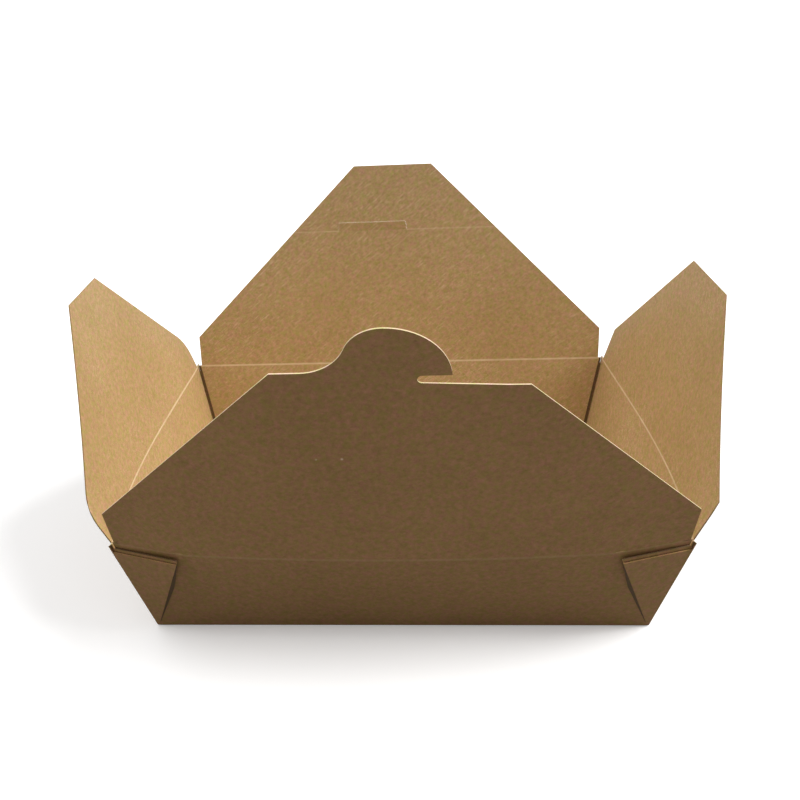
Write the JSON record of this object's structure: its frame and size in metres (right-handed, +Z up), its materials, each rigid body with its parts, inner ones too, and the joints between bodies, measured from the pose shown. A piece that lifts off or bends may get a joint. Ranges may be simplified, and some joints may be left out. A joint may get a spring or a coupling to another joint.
{
  "type": "takeaway box",
  "caption": "Folded brown kraft paperboard takeaway box with splayed walls, webbed corners and hinged lid flaps standing open, one with a hook tab and one with a slit that takes it.",
  "frame": {"origin": "middle of the base's underside, on the surface that the box stands on", "axes": "+Z up, +X along the long side towards the right flap, -Y towards the front flap with the hook tab"},
  "size_m": [0.2603, 0.2097, 0.1488],
  "materials": {
    "kraft_board": "uncoated brown kraft paperboard, 0.5 mm, slightly mottled"
  },
  "bodies": {
    "tray": {"tray": "kraft_board"},
    "front_flap": {"front_flap": "kraft_board"},
    "rear_flap": {"rear_flap": "kraft_board"},
    "left_flap": {"left_flap": "kraft_board"},
    "right_flap": {"right_flap": "kraft_board"}
  },
  "joints": [
    {"name": "front_flap_crease", "type": "hinge", "parent": "tray", "child": "front_flap", "pos_m": [0, -0.0794, 0.0488], "axis": [-1, 0, 0], "range_deg": [-70.7, 109.3]},
    {"name": "rear_flap_crease", "type": "hinge", "parent": "tray", "child": "rear_flap", "pos_m": [0, 0.07925, 0.048], "axis": [1, 0, 0], "range_deg": [-81.1, 98.9]},
    {"name": "left_flap_crease", "type": "hinge", "parent": "tray", "child": "left_flap", "pos_m": [-0.10759, 0, 0.0472], "axis": [0, 1, 0], "range_deg": [-71.8, 108.2]},
    {"name": "right_flap_crease", "type": "hinge", "parent": "tray", "child": "right_flap", "pos_m": [0.10759, 0, 0.0472], "axis": [0, -1, 0], "range_deg": [-74.2, 105.8]}
  ]
}
